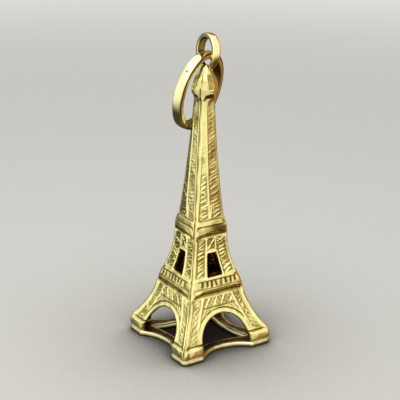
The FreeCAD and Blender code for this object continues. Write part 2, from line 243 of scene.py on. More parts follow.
def lattice_strip(face, side, ends, along, style, seed, turned=False):
    """A sunk strip between two ends across the face, with crossed ribs in it; turned mirrors them."""
    pitch, reach, sink, rise, soft, least = style
    inner, outer = ends
    width = np.maximum(outer - inner, least)
    u = (side - inner) / width
    ribs = lattice(face, np.where(turned, 1.0 - u, u), along, width, pitch, reach, seed)
    return between(0.0, 1.0, soft / width, u) * (rise * ribs - sink)


# Styles of the lattice strips: pitch and reach of the ribs, sink, rise, soft edge and least width
LEG_STYLE = (0.56, 0.145, 0.05, 0.10, 0.05, 0.1)
PANEL_STYLE = (0.44, 0.125, 0.065, 0.12, 0.05, 0.1)
SHAFT_STYLE = (0.44, 0.13, 0.05, 0.09, 0.04, 0.08)

LEG_INNER = ([1.75, 2.40, 3.60, 4.90, 6.10], [3.80, 3.50, 3.03, 2.44, 1.94])
LEG_STRIP = (1.88, 6.02)
LEG_TOP = 6.10
LEG_MARGIN = 0.60
LEG_BAND = 0.30
LEG_SLANT = 1.10
LEG_WORN = 0.6


def leg_relief(face, s, z, edge):
    """Lower legs: a lattice strip in each leg, a smooth band inside it, the arch's rim and the frieze."""
    side = np.abs(s)
    inner = np.interp(z, *LEG_INNER)
    along, seed = (LEG_TOP - z) * LEG_SLANT, np.where(s > 0, 0, 131)
    relief = lattice_strip(face, side, (inner, edge - LEG_MARGIN), along, LEG_STYLE, seed)
    relief *= between(*LEG_STRIP, BAND_SOFT, z) * np.where(face.toward_front(s), LEG_WORN, 1.0)
    reach = inner - LEG_BAND
    relief += 0.06 * between(reach, inner, 0.05, side) * between(3.0, 6.0, 0.2, z)
    relief += rim_relief(s, z, reach) + frieze_relief(face, s, z, reach)
    return relief * (1.0 - smooth(LEG_TOP - 0.05, LEG_TOP + 0.05, z))


RIM_MIDDLE, RIM_REACH = 0.26, 0.30
GROOVE_MIDDLE, GROOVE_REACH = 0.60, 0.085
STROKE_PITCH, STROKE_SLANT = 0.42, 1.1


def rim_relief(s, z, reach):
    """The arch's raised rim, the groove round it and slanting strokes between it and the frieze."""
    clear = arch_distance(s, z)
    side = np.abs(s)
    rim = 0.05 * bump(clear - RIM_MIDDLE, RIM_REACH) * smooth(1.4, 2.6, z)
    groove = 0.10 * bump(clear - GROOVE_MIDDLE, GROOVE_REACH) * smooth(2.6, 3.6, z)
    spandrel = (1.0 - smooth(4.80, 4.92, z)) * smooth(0.72, 0.80, clear) * (side < reach)
    strokes = bump(((side * STROKE_SLANT + z) / STROKE_PITCH) % 1.0 - 0.5, 0.30)
    return rim - groove - 0.04 * spandrel * strokes


FRIEZE_LOW, FRIEZE_HIGH = 5.02, 6.00
FRIEZE_PITCH = 1.02
FRIEZE_RISE = 0.85
FRIEZE_SILL = 4.96


def frieze_relief(face, s, z, reach):
    """The uneven zigzag over the arch and the groove along its foot."""
    side = np.abs(s)
    here = between(FRIEZE_LOW, FRIEZE_HIGH, 0.05, z) * (1.0 - smooth(reach - 0.08, reach, side))
    drift = 0.15 + 0.10 * np.sin(2.2 * s + face.marks[12])
    wave = np.abs(((s + drift) / FRIEZE_PITCH) % 1.0 - 0.5) * 2.0
    up = z - FRIEZE_LOW - 0.06
    zigzag = bump((up - wave * FRIEZE_RISE) * 0.50, 0.095)
    cross = bump((up - (1.0 - wave) * FRIEZE_RISE) * 0.50, 0.075)
    groove = bump(z - FRIEZE_SILL, 0.075) * (1.0 - smooth(reach - 0.1, reach + 0.1, side))
    return here * (0.10 * np.maximum(zigzag, 0.45 * cross) - 0.05) - 0.08 * groove


BLOCK_LOW, BLOCK_HIGH = 0.5, 1.80
BLOCK_MIDDLE, BLOCK_SWELL = (1.16, 1.15), (0.62, 1.35)
BLOCK_LINE = 1.78


def foot_relief(s, z, edge):
    """The swelling sides of a foot block, its narrow sole and the shadow line along its top."""
    depth = edge - np.abs(s)
    block = between(BLOCK_LOW, BLOCK_HIGH, 0.10, z)
    pillow = hump((z - BLOCK_MIDDLE[0]) / BLOCK_SWELL[0]) * hump((depth - BLOCK_MIDDLE[1]) / BLOCK_SWELL[1])
    sole = 0.07 * (1.0 - smooth(0.55, 0.85, z))
    line = 0.12 * bump(z - BLOCK_LINE, 0.11) * smooth(0.30, 0.75, depth)
    return 0.13 * np.sqrt(pillow) * block - 0.07 * block - sole - line


BALUSTER_PITCH = 0.60
BALUSTER_HALF = 0.08
RAIL_LOW, RAIL_HIGH = 7.16, 7.72
RAIL_FRONT_START, RAIL_START = 0.85, 0.42


def rail_relief(face, s, z, edge):
    """The row of notches above the first ledge, each with its own place, slant, height and depth."""
    place = s / BALUSTER_PITCH
    cell = np.round(place).astype(int)
    key = cell + 50
    slant = face.vary(key, 0.0, 0.28) * (z - 7.45) / BALUSTER_PITCH
    across = (place - cell - face.vary(key + 20, 0.0, 0.14) - slant) * BALUSTER_PITCH
    tall = between(face.vary(key + 40, RAIL_LOW, 0.05), RAIL_HIGH, BAND_SOFT, z)
    notch = 1.0 - smooth(BALUSTER_HALF, BALUSTER_HALF + 0.09, np.abs(across))
    start = np.where(face.toward_front(s), RAIL_FRONT_START, RAIL_START)
    return -face.vary(key + 60, 0.10, 0.03) * notch * tall * smooth(start, start + 0.18, edge - np.abs(s))


PANEL_LOW, PANEL_HIGH = 8.24, 12.12
PANEL_MARGIN = 0.46
FRAME_TOP = 10.62
FRAME_RISE, HEAD_RISE = 0.10, 0.03
UPRIGHT_SIDE = 0.575
CROSS_LOW, CROSS_HIGH, CROSS_HALF = 10.92, 12.12, 0.44


def window_relief(face, s, z, edge):
    """The window's raised frame, the lattice strips beside it and the two uprights and cross above it."""
    side = np.abs(s)
    clear = window_distance(s, z)
    framed = 1.0 - smooth(FRAME_TOP, FRAME_TOP + 0.12, z)
    relief = FRAME_RISE * (1.0 - smooth(0.17, 0.26, clear)) * framed * smooth(8.04, 8.14, z)
    relief += HEAD_RISE * (1.0 - smooth(0.20, 0.30, clear)) * (1.0 - framed)
    inner = np.maximum(WINDOW_FOOT_HALF - WINDOW_SLOPE * (z - WINDOW_LOW) + 0.27, 0.68)
    outer = edge - PANEL_MARGIN * (1.0 - 0.45 * far_half(face, s, z))
    seed = np.where(s > 0, 40, 210)
    beside = lattice_strip(face, side, (inner, outer), z - 8.2, PANEL_STYLE, seed, turned=s <= 0)
    relief += beside * between(PANEL_LOW, PANEL_HIGH, BAND_SOFT, z)
    relief += 0.07 * bump(side - UPRIGHT_SIDE, 0.10) * between(10.85, 12.15, BAND_SOFT, z)
    cell = between(CROSS_LOW, CROSS_HIGH, 0.05, z) * (1.0 - smooth(CROSS_HALF, CROSS_HALF + 0.06, side))
    rise = (z - 10.95) / 1.15 * 0.9 - 0.45
    crossed = np.maximum(bump((s - rise) * 0.75, 0.085), 0.7 * bump((s + rise) * 0.75, 0.075))
    return relief + cell * (0.11 * crossed - 0.06)


SHAFT_LOW, SHAFT_HIGH = 14.22, 25.85
RIB_HALF = ([14.2, 15.6, 26.0], [0.12, 0.07, 0.04])
WEDGE_HALF = ([14.2, 15.75], [0.17, 0.01])
WEDGE_ROOM = ([14.2, 15.7], [0.24, 0.0])
WEDGE_SIDE = 0.16
SHAFT_MARGIN = ([14.2, 20.0, 26.0], [0.42, 0.36, 0.30])
LEFT_WEAR = ([14.0, 18.5, 21.0, 25.8], [1.0, 0.9, 0.25, 0.10])
RIGHT_WEAR = ([14.0, 19.0, 22.5, 25.8], [1.0, 0.95, 0.6, 0.45])
RIGHT_SOFTNESS = 0.45


def shaft_relief(face, s, z, edge):
    """The middle rib with its wedge, and a lattice strip on each side that wears away upwards."""
    ridge = ridge_place(z)
    off = s - ridge
    side = np.abs(off)
    right = off > 0
    here = between(SHAFT_LOW, SHAFT_HIGH, BAND_SOFT, z)
    rib = np.interp(z, *RIB_HALF)
    wedge_half = np.interp(z, *WEDGE_HALF)
    wedge = 1.0 - smooth(wedge_half, wedge_half + 0.05, np.abs(s - WEDGE_SIDE))
    relief = 0.045 * bump(off, rib + 0.06) * here + 0.09 * wedge * between(14.18, 15.7, 0.04, z)
    inner = rib + 0.06 + np.where(right, np.interp(z, *WEDGE_ROOM), 0.0)
    margin = np.interp(z, *SHAFT_MARGIN) * (1.0 - 0.55 * far_half(face, s, z))
    outer = np.where(right, edge - ridge, edge + ridge) - margin
    wear = np.where(right, RIGHT_SOFTNESS * np.interp(z, *RIGHT_WEAR), np.interp(z, *LEFT_WEAR))
    seed = np.where(s > 0, 60, 300)
    beside = lattice_strip(face, side, (inner, outer), z - 14.2, SHAFT_STYLE, seed, turned=~right)
    return relief + beside * here * wear


DORMER_LOW, DORMER_HIGH, DORMER_HALF = 27.95, 29.45, 0.30
DORMER_PITCH = 0.17
DORMER_SILL, SILL_HALF = 27.86, 0.42


def finial_relief(s, z):
    """A shallow ridged dormer and its sill in the middle of each broad facet of the bud."""
    dish = between(-DORMER_HALF, DORMER_HALF, 0.12, s) * between(DORMER_LOW, DORMER_HIGH, 0.16, z)
    ridges = bump((s / DORMER_PITCH + 0.15 * np.sin(z * 6.0)) % 1.0 - 0.5, 0.42)
    sill = bump(z - DORMER_SILL, 0.12) * between(-SILL_HALF, SILL_HALF, 0.10, s)
    return (0.06 * ridges - 0.075) * dish + 0.035 * sill


# ---- The outer surface of a face ----
LEDGE_SAG = ((5.7, 7.1, 1.0), (11.9, 13.3, 0.85))
FRONT_SAG, FRONT_SAG_REACH = 0.42, 1.9
CORNER_SAG, CORNER_SAG_REACH = 0.14, 1.1


def surface_height(face, s, z):
    """Distance of the outer surface from the tower's axis plane, before the corners are trimmed."""
    corner = corner_half(z)
    depth = corner - np.abs(s)
    front = face.toward_front(s)
    sag = np.where(front, FRONT_SAG, CORNER_SAG)
    sag = sag * smooth(np.where(front, FRONT_SAG_REACH, CORNER_SAG_REACH), 0.1, depth)
    droop = sag * sum(share * between(low, high, 0.3, z) for low, high, share in LEDGE_SAG)
    middle = middle_half(z + droop)
    weight = smooth(0.08, 0.80, depth / np.interp(z, [5.0, 13.0], [1.0, 0.75]))
    bud = bud_share(z)
    main = (corner + (middle - corner) * weight) * (1.0 - bud) + middle * bud
    ridge = ridge_place(z)
    reach = np.where(s > ridge, corner - ridge, corner + ridge)
    slope = 1.0 - np.clip(1.0 - np.abs(s - ridge) / reach, 0.0, 1.0)
    return main + np.interp(z, *FOLD_LINE) * (1.0 - np.sqrt(slope ** 2 + 0.002) + 0.022 * slope)


BEAD_DEPTH, BEAD_REACH, BEAD_RISE = 0.24, 0.20, 0.03
BEAD_LOW, BEAD_HIGH = 2.4, 26.2
SEAM_DEPTH = ([26.4, 27.2], [0.14, 0.07])
SEAM_GROOVE = 0.17


def relief_height(face, s, z, edge):
    """All pressed and chased relief of a face, with the bead along its edges and the seam's groove."""
    depth = edge - np.abs(s)
    relief = leg_relief(face, s, z, edge) + foot_relief(s, z, edge)
    relief = relief + rail_relief(face, s, z, edge) + window_relief(face, s, z, edge)
    relief = relief + shaft_relief(face, s, z, edge) + finial_relief(s, z)
    bead = bump(depth - BEAD_DEPTH, BEAD_REACH) * between(BEAD_LOW, BEAD_HIGH, 0.3, z)
    relief = relief + BEAD_RISE * bead * (1.0 - 0.9 * far_half(face, s, z) * smooth(8.2, 8.6, z))
    relief = relief + 0.012 * face.wobble(s, z, 2.4) + 0.009 * face.wobble(z, s, 0.9)
    relief = relief * smooth(0.02, 0.12, depth)
    if face.seam_side > 0:
        seam = np.where(s > 0, bump(depth - np.interp(z, *SEAM_DEPTH), 0.12), 0.0)
        relief = relief - SEAM_GROOVE * seam * (1.0 - smooth(27.9, 28.2, z)) * smooth(0.7, 1.2, z)
    return relief


# Painted shade: bands under the two ledges and the bud (low, high, softness), and grooves (height, reach),
# that are painted darker.
UNDERSIDES = ((6.12, 6.72, 0.10), (12.26, 12.80, 0.10), (27.05, 27.45, 0.06))
GROOVES = ((13.47, 0.09), (14.12, 0.08), (7.08, 0.07))


def painted_shade_tone(face, s, z):
    """Painted shade: how much darker the metal is painted under the ledges and the bud, in their grooves, on
    the ledges' bands and on the shaft's half away from the seam, in the relief's own scale; the shaft's other
    half is painted a little lighter.
    """
    depth = corner_half(z) - np.abs(s)
    far = far_half(face, s, z)
    under = sum(between(low, high, soft, z) for low, high, soft in UNDERSIDES)
    grooves = sum(bump(z - middle, reach) for middle, reach in GROOVES)
    # Painted shade on the bands of the two ledges; on the faces with the seam on their left it deepens to the
    # right.
    upper_band_shade = 0.03 + (0.05 if face.seam_side < 0 else 0.0) * smooth(-0.6, 0.7, -s * face.seam_side)
    band_shade = upper_band_shade * between(12.88, 13.42, 0.08, z) + 0.02 * between(6.75, 7.05, 0.06, z)
    # Painted light and shade on the shaft: darker on the half away from the seam, most near the edge bead,
    # and a little lighter on the other half.
    facet = 0.015 * far - 0.012 + 0.02 * far * bump(depth - BEAD_DEPTH, 0.26)
    inward = smooth(0.05, 0.6, depth)
    return inward * (0.07 * under + 0.08 * grooves + band_shade) + facet * between(14.3, 26.4, 0.3, z)


ARCH_ROLL = 0.24
WINDOW_ROLL = 0.09
STEEPEST_ROLL = 0.96
CORNER_ROUNDS = ([0.60, 1.60, 2.10], [0.42, 0.36, 0.12])
BUD_EDGE_SOFT = 0.035


def soft_min(a, b, soft):
    """The smaller of two surfaces, blended where they cross."""
    t = np.clip(0.5 + 0.5 * (b - a) / soft, 0.0, 1.0)
    return b + (a - b) * t - soft * t * (1.0 - t)


def rolled(distance, radius):
    """How far a rounded edge drops, from 0 at radius away to nearly radius at the edge itself."""
    x = np.clip(1.0 - np.maximum(distance, 0.0) / radius, 0.0, 1.0) * STEEPEST_ROLL
    return radius * (1.0 - np.sqrt(1.0 - x * x))


def corner_round(z):
    """Radius of the tower's four corners: large on the foot blocks, small above."""
    return np.interp(z, *CORNER_ROUNDS)


def edge_half(z):
    """Half width of a face at its mitred edge: the corner line less the corner's rounding."""
    return corner_half(z) - corner_round(z) * (1.0 - math.sqrt(0.5)) * (1.0 - bud_share(z))


def outer_height(face, s, z, edge):
    """The outer surface of a face: rounded towards its corners, or cut off at 45 degrees on the bud."""
    height = surface_height(face, s, z) + relief_height(face, s, z, edge)
    height = height - rolled(arch_distance(s, z), ARCH_ROLL) - rolled(window_distance(s, z), WINDOW_ROLL)
    radius = corner_round(z)
    over = np.maximum(np.abs(s) - corner_half(z) + radius, 0.0)
    rounded = height - radius + np.sqrt(np.maximum(radius ** 2 - over ** 2, 0.0))
    cut = soft_min(height, 2.0 * edge - np.abs(s), BUD_EDGE_SOFT)
    bud = bud_share(z)
    return rounded * (1.0 - bud) + cut * bud


# ---- Inner surface, a plain pyramid of four faces ----
INNER_SOFTNESS = 0.5
INNER_REACH = 1.2
INNER_LEAST = 0.06
LINING = 0.38


def inner_half(z):
    heights, corners = CORNER_TABLE
    least = np.minimum(corners, MIDDLE_TABLE[1])
    width = int(INNER_SOFTNESS / LINE_STEP)
    padded = np.pad(least, width // 2, mode="edge")
    soft = np.convolve(padded, np.ones(width + 1) / (width + 1), mode="valid")
    lining = LINING * between(7.5, 12.6, 0.4, z)
    return np.maximum(np.interp(z, heights, soft) - SHEET - lining, INNER_LEAST)


def inner_point(s, z):
    """Across and out on the inner surface, behind the outer point at s and z."""
    edge, half = edge_half(z), inner_half(z)
    reach = np.minimum(INNER_REACH, edge)
    start = edge - reach
    over = np.clip((np.abs(s) - start) / reach, 0.0, 1.0)
    across = np.where(np.abs(s) > start, start + over * (half - start), np.abs(s)) * np.sign(s)
    return across, half


# ---- The whole tower's slow twist and the lean of its tip ----
TWIST_LINE = ([6.0, 13.0, 18.0, 24.0], [0.0, 1.7, 3.8, 5.0])
LEAN_LINE = ([14.0, 20.0, 26.0, 28.0], [0.0, 0.05, 0.13, 0.17])
LEAN_WAY = (0.83, -0.56)


def place(turn, s, h, z):
    """Points of a face (turn quarter turns from the -Y face), twisted and leaning, in metres."""
    x, y = [(s, -h), (h, s), (-s, h), (-h, -s)][turn]
    angle = np.radians(np.interp(z, *TWIST_LINE))
    lean = np.interp(z, *LEAN_LINE)
    across = x * np.cos(angle) + y * np.sin(angle) + LEAN_WAY[0] * lean
    along = y * np.cos(angle) - x * np.sin(angle) + LEAN_WAY[1] * lean
    return np.stack([across, along, np.broadcast_to(z, across.shape)], axis=-1) * MM


# ---- Meshing of a face: rows across it, zipped together, then cut by the openings ----
SEAM_GAP = 0.055
ROW_STEP = 0.055
EDGE_STEPS = np.array([0.0, 0.02, 0.045, 0.075, 0.11, 0.15, 0.19, 0.235, 0.285, 0.34, 0.40])
NARROW_HALF = 0.9
ZONES = [
    (FOOT_Z, 6.5, 132), (6.5, 10.0, 86), (10.0, 14.2, 62),
    (14.2, 19.0, 44), (19.0, 25.0, 30), (25.0, TIP_Z, 22),
]
INNER_STEP = 0.32
INNER_CLEAR = 0.12
WELD = 0.0012
SHARP_ANGLE = 55.0
# The tone of the tower's inner surfaces: the gold paints them in shade with its inside colour.
INSIDE_SHADE_TONE = -0.5


def face_ends(z, seam_side):
    edge = edge_half(z)
    return -edge + (SEAM_GAP if seam_side < 0 else 0.0), edge - (SEAM_GAP if seam_side > 0 else 0.0)


def row_places(z, cells, seam_side):
    """Where a row's vertices lie across the face: close together near its ends."""
    left, right = face_ends(z, seam_side)
    steps = EDGE_STEPS * min(1.0, edge_half(z) / NARROW_HALF)
    middle = np.linspace(left + steps[-1], right - steps[-1], cells + 1)
    return np.concatenate([left + steps[:-1], middle, (right - steps[:-1])[::-1]])


def zip_rows(low, high, low_start, high_start):
    """Triangles between two rows of different counts, anticlockwise as seen from outside."""
    triangles = []
    i = j = 0
    while i < len(low) - 1 or j < len(high) - 1:
        if j == len(high) - 1 or (i < len(low) - 1 and low[i + 1] <= high[j + 1]):
            triangles.append((low_start + i, low_start + i + 1, high_start + j))
            i += 1
        else:
            triangles.append((low_start + i, high_start + j + 1, high_start + j))
            j += 1
    return triangles


def face_rows(seam_side):
    """Vertices (s, z) and triangles of a face before it has openings, and the vertices at its two ends."""
    rows = []
    for low, high, cells in ZONES:
        count = int(round((high - low) / ROW_STEP)) + 1
        heights = np.linspace(low, high, count)
        for z in heights if high == TIP_Z else heights[:-1]:
            rows.append((z, row_places(z, cells, seam_side)))
    starts = np.cumsum([0] + [len(places) for _, places in rows])
    points = np.concatenate([np.stack([places, np.full(len(places), z)], axis=1) for z, places in rows])
    triangles = []
    for n in range(len(rows) - 1):
        low, high = rows[n][1], rows[n + 1][1]
        a, b = starts[n], starts[n + 1]
        if len(low) != len(high):
            triangles += zip_rows(low, high, a, b)
            continue
        for k in range(len(low) - 1):
            odd = (k + n) % 2
            triangles += [(a + k, a + k + 1, b + k + odd), (a + k + 1 - odd, b + k + 1, b + k)]
    return points, np.array(triangles), starts[:-1], starts[1:] - 1


def cut_openings(points, triangles):
    """Removes the arch and the window, with new vertices where triangles cross their edges."""
    clear = opening_distance(points[:, 0], points[:, 1])
    outside = clear > 0
    count = outside[triangles].sum(axis=1)
    kept = [tuple(t) for t in triangles[count == 3]]
    points = list(points)
    made = {}

    def crossing(a, b):
        low, high = min(a, b), max(a, b)
        if (low, high) not in made:
            t = clear[low] / (clear[low] - clear[high])
            made[low, high] = len(points)
            points.append(points[low] * (1 - t) + points[high] * t)
        return made[low, high]

    for triangle in triangles[(count > 0) & (count < 3)]:
        ring = []
        for a, b in zip(triangle, np.roll(triangle, -1)):
            if outside[a]:
                ring.append(a)
            if outside[a] != outside[b]:
                ring.append(crossing(a, b))
        kept += [(ring[0], ring[n], ring[n + 1]) for n in range(1, len(ring) - 1)]
    return np.array(points), np.array(kept)


def rim_edges(triangles):
    """Directed edges that belong to one triangle only."""
    edges = {edge for a, b, c in triangles for edge in ((a, b), (b, c), (c, a))}
    return sorted(edge for edge in edges if edge[::-1] not in edges)


def triangulate(flat, edges):
    """Triangles between flat points that keep to fixed edges, as numbers of the points given."""
    _, _, faces, source, _, _ = delaunay_2d_cdt(flat, edges, [], 0, 1e-7)
    found = [[source[v][0] for v in face if source[v]] for face in faces]
    return [face for face in found if len(face) == 3]


def inner_triangles(points, rim, groups, seam_side):
    """A coarser triangulation inside the same rim: extra (s, z) points and triangles."""
    used = sorted({v for edge in rim for v in edge})
    index = {v: n for n, v in enumerate(used)}
    extra = []
    for z in np.arange(FOOT_Z + 0.2, TIP_Z - 0.1, INNER_STEP):
        left, right = face_ends(z, seam_side)
        count = max(2, int(round((right - left) / INNER_STEP)))
        places = np.linspace(left, right, count + 1)[1:-1]
        extra += [(s, z) for s in places if opening_distance(s, z) > INNER_CLEAR]
    flat = [Vector(points[v]) for v in used] + [Vector(p) for p in extra]
    edges = [(index[a], index[b]) for a, b in rim]
    label = [groups.get(v, frozenset()) for v in used] + [frozenset()] * len(extra)
    found = triangulate(flat, edges)
    return used, np.array(extra), [t for t in found if not frozenset.intersection(*[label[v] for v in t])]


class Builder:
    """Gathers vertices with their relief value, into which painted shade and highlights are mixed in places,
    and faces, for one mesh.
    """

    def __init__(self):
        self.points = []
        self.tones = []
        self.faces = []

    def add(self, points, tones, faces, flip=False):
        start = sum(len(p) for p in self.points)
        self.points.append(np.asarray(points))
        self.tones.append(np.broadcast_to(tones, (len(points),)))
        for face in faces:
            face = [start + int(v) for v in face]
            self.faces.append(face[::-1] if flip else face)
        return start

    def mesh(self, name, weld):
        mesh = bpy.data.meshes.new(name)
        mesh.from_pydata(np.concatenate(self.points).tolist(), [], self.faces)
        tone = mesh.attributes.new("relief", "FLOAT", "POINT")
        tone.data.foreach_set("value", np.concatenate(self.tones).astype(np.float32))
        if weld:
            work = bmesh.new()
            work.from_mesh(mesh)
            bmesh.ops.remove_doubles(work, verts=work.verts, dist=weld)
            bmesh.ops.dissolve_degenerate(work, edges=work.edges, dist=weld * 0.1)
            work.to_mesh(mesh)
            work.free()
        mesh.validate()
        mesh.polygons.foreach_set("use_smooth", [True] * len(mesh.polygons))
        mesh.set_sharp_from_angle(angle=math.radians(SHARP_ANGLE))
        return mesh


def face_mesh(builder, face):
    """Adds one face of the tower: outer relief, inner surface and the walls of every open edge."""
    points, triangles, firsts, lasts = face_rows(face.seam_side)
    groups = {int(v): frozenset(["left"]) for v in firsts}
    groups.update({int(v): frozenset(["right"]) for v in lasts})
    whole = len(points)
    points, triangles = cut_openings(points, triangles)
    s, z = points[:, 0], points[:, 1]
    edge = edge_half(z)
    height = np.where(edge - np.abs(s) < 1e-6, edge, outer_height(face, s, z, edge))
    # The colour tone: the relief less the painted shade under the ledges, in the grooves and on the shaft's
    # far half.
    tone = relief_height(face, s, z, edge) - painted_shade_tone(face, s, z)
    for v in range(whole, len(points)):
        groups[v] = frozenset(["arch" if z[v] < LEG_TOP else "window"])
    rim = rim_edges(triangles)
    used, extra, inner_faces = inner_triangles(points, rim, groups, face.seam_side)
    inner_z = np.concatenate([z[used], extra[:, 1]])
    across, out = inner_point(np.concatenate([s[used], extra[:, 0]]), inner_z)
    start = builder.add(place(face.turn, s, height, z), tone, triangles)
    # The inner surface gets the tone that the gold paints in shade.
    inner = builder.add(place(face.turn, across, out, inner_z), INSIDE_SHADE_TONE, inner_faces, flip=True)
    index = {v: inner + n for n, v in enumerate(used)}
    folded = "right" if face.seam_side < 0 else "left"
    for a, b in rim:
        if folded not in groups.get(a, ()) or folded not in groups.get(b, ()):
            builder.faces.append([start + b, start + a, index[a], index[b]])


# ---- Solder up the tower's two seams ----
SEAM_SINK = 0.012
SEAM_LAP = 0.012
SEAM_STEP = 0.06


def tube_faces(rows, wide, closed=False, capped=True):
    """Faces of a tube whose rows of points each go round it, with caps unless it is closed or open-ended."""
    faces = []
    for n in range(rows if closed else rows - 1):
        low, high = n * wide, ((n + 1) % rows) * wide
        faces += [[low + k, high + k, high + (k + 1) % wide, low + (k + 1) % wide] for k in range(wide)]
    if capped and not closed:
        faces.append(list(range(wide)))
        faces.append([(rows - 1) * wide + k for k in range(wide)][::-1])
    return faces


def seam_strip(builder, right_face, left_face, phase):
    """A strip up a corner, between right_face's left end and left_face's right end."""
    heights = np.arange(FOOT_Z, TIP_Z - 0.04, SEAM_STEP)
    edge = edge_half(heights)
    half = inner_half(heights)
    columns = []
    for face, sign, offsets in (
        (right_face, -1, [SEAM_GAP + SEAM_LAP, SEAM_GAP * 0.5, 0.0]),
        (left_face, 1, [SEAM_GAP * 0.5, SEAM_GAP + SEAM_LAP]),
    ):
        for offset in offsets:
            s = sign * (edge - offset)
            height = outer_height(face, s, heights, edge) if offset else edge
            columns.append(place(face.turn, s, height - SEAM_SINK, heights))
    columns.append(place(left_face.turn, half - SEAM_GAP, half, heights))
    columns.append(place(right_face.turn, SEAM_GAP - half, half, heights))
    rows, wide = len(heights), len(columns)
    tones = -0.02 + 0.03 * np.sin(np.repeat(heights, wide) * 2.1 + phase)
    builder.add(np.stack(columns, axis=1).reshape(-1, 3), tones, tube_faces(rows, wide))


# ---- Rings: a profile swept round a circle ----
JUMP_CENTRE = (0.247, 1.244, 27.390)
JUMP_AXIS = Vector((0.42879, -0.87915, -0.20791)).normalized()
JUMP_OUTER, JUMP_BAND, JUMP_WIDTH = 4.28, 0.82, 1.06
JUMP_MIDDLE = JUMP_OUTER - JUMP_BAND / 2
JUMP_SPLIT = math.radians(150.0)
JUMP_SPLIT_HALF = 0.022 / JUMP_MIDDLE
JUMP_NICK = math.radians(167.0)
JUMP_HANG = Vector((0.60, 0.52, 31.18)) - Vector(JUMP_CENTRE)

BAIL_CENTRE = (0.44, -0.10, 31.64)
BAIL_AXIS = Vector((-0.99113, 0.09543, 0.09237)).normalized()
BAIL_OUTER, BAIL_BAND = 1.92, 0.50
BAIL_MIDDLE = BAIL_OUTER - BAIL_BAND / 2
BAIL_WIDTHS = ([-1.0, -0.7, 0.0, 1.0], [0.40, 0.60, 0.90, 0.90])


def axes_from(normal):
    """Two directions across a normal, turned with it from +X and +Y."""
    turn = Vector((0, 0, 1)).rotation_difference(normal)
    return turn @ Vector((1, 0, 0)), turn @ Vector((0, 1, 0))


def sweep_ring(centre, normal, profile, angles, closed):
    """Points, tones and faces of a ring; profile(angle) gives radius, axial offset and tone arrays."""
    first, second, axis = (np.array(v) for v in (*axes_from(normal), normal))
    rows, tones = [], []
    for angle in angles:
        radius, axial, tone = profile(angle)
        out = first * math.cos(angle) + second * math.sin(angle)
        rows.append(np.array(centre) + radius[:, None] * out + axial[:, None] * axis)
        tones.append(np.broadcast_to(tone, radius.shape))
    return np.concatenate(rows) * MM, np.concatenate(tones), tube_faces(len(rows), len(rows[0]), closed)


def squircle(count, power):
    """Points of a rounded square with half sides of 1."""
    around = np.linspace(0.0, 2.0 * math.pi, count, endpoint=False)
    return [np.sign(v) * np.abs(v) ** power for v in (np.cos(around), np.sin(around))]


def wrapped(angle):
    """The same direction as an angle of at most half a turn either way."""
    return (angle + math.pi) % (2.0 * math.pi) - math.pi


def angle_of(direction, normal):
    """Where a direction lies round a ring with this normal."""
    first, second = axes_from(normal)
    return math.atan2(direction.dot(second), direction.dot(first))


def jump_profile(angle):
    """The jump ring's section: a domed band, its sides chased with a line, rubbed narrower at the bail."""
    across, along = squircle(60, 0.30)
    rubbed = 1.0 - smooth(0.14, 0.40, abs(wrapped(angle - angle_of(JUMP_HANG, JUMP_AXIS))))
    uneven = 1.0 + 0.020 * math.sin(3 * angle + 0.8) + 0.012 * math.sin(7 * angle + 2.0) - 0.22 * rubbed
    dome = 1.0 - 0.14 * np.clip(np.abs(along) - 0.2, 0, 1) * (across > 0)
    nick_place = bump(wrapped(angle - JUMP_NICK) * JUMP_MIDDLE, 0.16)
    nick = nick_place * (across > 0.8) * bump(along + 0.1, 0.5)
    radius = JUMP_MIDDLE + across * (JUMP_BAND / 2 - 0.01 - 0.03 * rubbed) * dome - 0.06 * nick
    side = smooth(0.75, 0.95, np.abs(along))
    line = bump(across - 0.62, 0.36) * side
    # A painted highlight: a band along the middle of each side is painted lighter.
    rim = bump(across + 0.10, 0.42) * side
    axial = along * (JUMP_WIDTH / 2 - 0.012) * uneven * (1.0 - 0.10 * line)
    # The inner face is painted in shade.
    inside = smooth(0.70, 0.98, -across)
    tone = 0.03 - 0.05 * side - 0.16 * line + 0.09 * rim - 0.22 * nick - 0.12 * inside
    return radius, axial, tone


def bail_profile(angle):
    """The bail's section: a flat strap, broad over the top and narrow at its foot on the tip."""
    across, along = squircle(44, 0.42)
    first, second = axes_from(BAIL_AXIS)
    width = np.interp(first.z * math.cos(angle) + second.z * math.sin(angle), *BAIL_WIDTHS)
    radius = BAIL_MIDDLE + across * BAIL_BAND / 2
    axial = along * (width / 2 - 0.01 + 0.008 * math.sin(5 * angle))
    # The strap's inner face is painted in shade.
    return radius, axial, 0.03 - 0.11 * smooth(0.55, 0.95, -across)


# ---- Base plate, and the solder along the feet and under the bail ----
PLATE_TOP = 0.55
PLATE_HALF = 5.66
PLATE_ROUND = 0.55
BITE_HALF, BITE_RADIUS = 3.20, 4.36
OPENING_CORNER, OPENING_RADIUS = 3.70, 10.85
ARC_POINTS, CORNER_POINTS, STRAIGHT_POINTS = 60, 9, 14
EDGE_FOOT = [(0.16, 0.0), (0.06, 0.03), (0.015, 0.09), (0.0, 0.17)]
EDGE_ROUND = 0.26
# Painted shade and highlight on the plate's edge: tones by height, darker towards its underside and lighter
# at its top.
EDGE_LIGHT_AND_SHADE = ([0.08, 0.28, 0.45], [-0.09, -0.03, 0.03])
# Painted shade: the plate's top and underside are toned dark.
CAP_SHADE_TONE = -0.10
CAP_GRID = np.arange(-5.4, 5.41, 0.24)
CAP_CLEAR = 0.12


